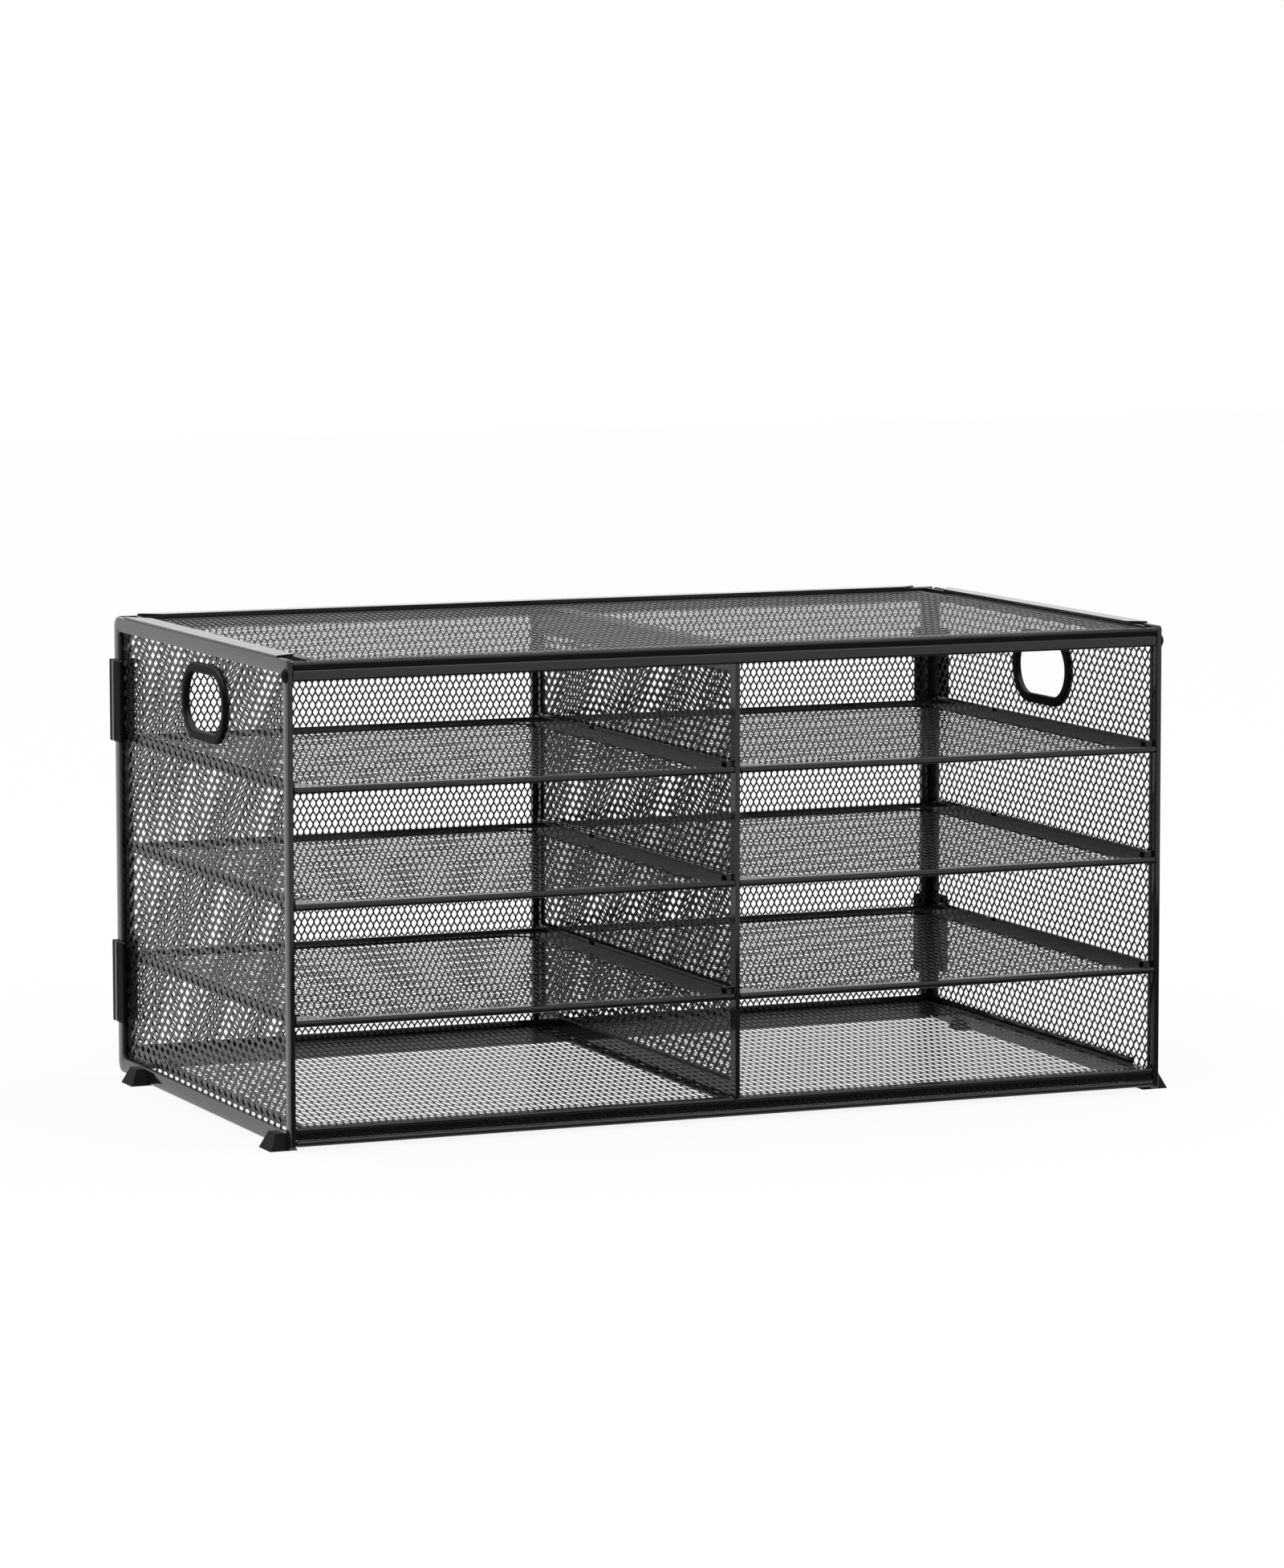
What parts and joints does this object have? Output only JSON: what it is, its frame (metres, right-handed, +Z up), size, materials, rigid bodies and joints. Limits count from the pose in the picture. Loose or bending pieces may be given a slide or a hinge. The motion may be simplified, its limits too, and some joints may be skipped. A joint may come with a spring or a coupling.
{
  "type": "mesh file sorter",
  "caption": "Black steel mesh desk sorter with side-by-side bays of sliding paper shelves, a shallow tray top, oval side handles and low plastic feet.",
  "frame": {"origin": "on the standing surface, under the middle of the outline", "axes": "+X to the right, +Y to the rear, +Z up; the open front of the bays faces -Y"},
  "size_m": [0.5266, 0.2934, 0.2594],
  "materials": {
    "satin_black_steel": "satin black powder coat",
    "black_mesh": "satin black powder coat on expanded metal",
    "black_plastic": "fine moulded matte black",
    "black_screw": "black oxide, smooth dome"
  },
  "bodies": {
    "frame": {"left_side_frame": "satin_black_steel", "left_side_mesh": "black_mesh", "left_handle_ring": "black_plastic", "right_side_frame": "satin_black_steel", "right_side_mesh": "black_mesh", "right_handle_ring": "black_plastic", "rear_frame": "satin_black_steel", "rear_mesh": "black_mesh", "divider_frame": "satin_black_steel", "divider_mesh": "black_mesh", "top_tray_rim": "satin_black_steel", "top_tray_mesh": "black_mesh", "front_top_rail": "satin_black_steel", "rail_screws": "black_screw", "bottom_tray_rim": "satin_black_steel", "bottom_tray_mesh": "black_mesh", "front_bottom_rail": "satin_black_steel", "left_lower_outer_runner": "satin_black_steel", "left_lower_inner_runner": "satin_black_steel", "left_middle_outer_runner": "satin_black_steel", "left_middle_inner_runner": "satin_black_steel", "left_upper_outer_runner": "satin_black_steel", "left_upper_inner_runner": "satin_black_steel", "right_lower_outer_runner": "satin_black_steel", "right_lower_inner_runner": "satin_black_steel", "right_middle_outer_runner": "satin_black_steel", "right_middle_inner_runner": "satin_black_steel", "right_upper_outer_runner": "satin_black_steel", "right_upper_inner_runner": "satin_black_steel", "left_upper_rear_clip": "black_plastic", "left_lower_rear_clip": "black_plastic", "left_front_foot": "black_plastic", "left_rear_foot": "black_plastic", "right_upper_rear_clip": "black_plastic", "right_lower_rear_clip": "black_plastic", "right_front_foot": "black_plastic", "right_rear_foot": "black_plastic"},
    "left_lower_shelf": {"left_lower_shelf_rim": "satin_black_steel", "left_lower_shelf_mesh": "black_mesh"},
    "left_middle_shelf": {"left_middle_shelf_rim": "satin_black_steel", "left_middle_shelf_mesh": "black_mesh"},
    "left_upper_shelf": {"left_upper_shelf_rim": "satin_black_steel", "left_upper_shelf_mesh": "black_mesh"},
    "right_lower_shelf": {"right_lower_shelf_rim": "satin_black_steel", "right_lower_shelf_mesh": "black_mesh"},
    "right_middle_shelf": {"right_middle_shelf_rim": "satin_black_steel", "right_middle_shelf_mesh": "black_mesh"},
    "right_upper_shelf": {"right_upper_shelf_rim": "satin_black_steel", "right_upper_shelf_mesh": "black_mesh"}
  },
  "joints": [
    {"name": "left_lower_shelf_slide", "type": "slide", "parent": "frame", "child": "left_lower_shelf", "axis": [0, -1, 0], "range_m": [0, 0.19]},
    {"name": "left_middle_shelf_slide", "type": "slide", "parent": "frame", "child": "left_middle_shelf", "axis": [0, -1, 0], "range_m": [0, 0.19]},
    {"name": "left_upper_shelf_slide", "type": "slide", "parent": "frame", "child": "left_upper_shelf", "axis": [0, -1, 0], "range_m": [0, 0.19]},
    {"name": "right_lower_shelf_slide", "type": "slide", "parent": "frame", "child": "right_lower_shelf", "axis": [0, -1, 0], "range_m": [0, 0.19]},
    {"name": "right_middle_shelf_slide", "type": "slide", "parent": "frame", "child": "right_middle_shelf", "axis": [0, -1, 0], "range_m": [0, 0.19]},
    {"name": "right_upper_shelf_slide", "type": "slide", "parent": "frame", "child": "right_upper_shelf", "axis": [0, -1, 0], "range_m": [0, 0.19]}
  ]
}
